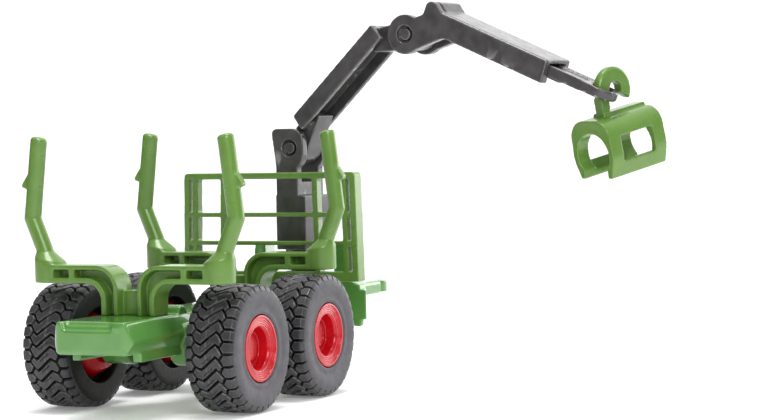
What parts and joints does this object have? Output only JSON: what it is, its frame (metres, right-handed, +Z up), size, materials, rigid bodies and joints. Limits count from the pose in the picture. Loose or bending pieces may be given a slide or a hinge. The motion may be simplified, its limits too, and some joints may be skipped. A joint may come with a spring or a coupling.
{
  "type": "toy forestry trailer with crane",
  "caption": "Small toy log trailer on tandem axles, with stake bunks, a headboard, a drawbar and a jointed loading crane that carries a log clip.",
  "frame": {"origin": "centre of the tow eye at the front of the drawbar", "axes": "+X to the trailer's right, +Y forward towards the tractor, +Z up along the tow eye's hole; the floor under the wheels is at Z = -11.7 mm"},
  "size_m": [0.0738, 0.0858, 0.0546],
  "materials": {
    "chassis_paint": "gloss",
    "green_plastic": "semi-gloss",
    "black_plastic": "satin",
    "rim_plastic": "gloss",
    "tyre": "matt",
    "axle_steel": "plain"
  },
  "bodies": {
    "trailer": {"chassis": "chassis_paint", "drawbar": "chassis_paint", "bunk_rear": "green_plastic", "bunk_front": "green_plastic", "headboard": "green_plastic"},
    "wheels_rear": {"axle_rear": "axle_steel", "rim_rear_left": "rim_plastic", "rim_rear_right": "rim_plastic", "tyre_rear_left": "tyre", "tyre_rear_right": "tyre"},
    "wheels_front": {"axle_front": "axle_steel", "rim_front_left": "rim_plastic", "rim_front_right": "rim_plastic", "tyre_front_left": "tyre", "tyre_front_right": "tyre"},
    "pillar": {"crane_pillar": "black_plastic"},
    "boom": {"crane_boom": "black_plastic"},
    "arm": {"crane_arm": "black_plastic"},
    "extension": {"crane_extension": "black_plastic"},
    "grab": {"grab": "green_plastic"}
  },
  "joints": [
    {"name": "rear_axle_spin", "type": "hinge", "parent": "trailer", "child": "wheels_rear", "pos_m": [0, -0.0672, -0.0032], "axis": [1, 0, 0], "continuous": true},
    {"name": "front_axle_spin", "type": "hinge", "parent": "trailer", "child": "wheels_front", "pos_m": [0, -0.0476, -0.0032], "axis": [1, 0, 0], "continuous": true},
    {"name": "slew", "type": "hinge", "parent": "trailer", "child": "pillar", "pos_m": [0, -0.0237, 0.0053], "axis": [0, 0, 1], "continuous": true},
    {"name": "boom_lift", "type": "hinge", "parent": "pillar", "child": "boom", "pos_m": [0, -0.0237, 0.0223], "axis": [0.1219, 0.9925, 0], "range_deg": [-25, 30]},
    {"name": "arm_fold", "type": "hinge", "parent": "boom", "child": "arm", "pos_m": [0.02035, -0.0262, 0.03835], "axis": [-0.1219, -0.9925, 0], "range_deg": [-45, 40]},
    {"name": "arm_extend", "type": "slide", "parent": "arm", "child": "extension", "axis": [0.9109, -0.1118, -0.3971], "range_m": [-0.005, 0.004]},
    {"name": "grab_swing", "type": "hinge", "parent": "extension", "child": "grab", "pos_m": [0.0506, -0.02791, 0.02979], "axis": [-0.8988, 0.4384, 0], "range_deg": [-20, 25]}
  ]
}
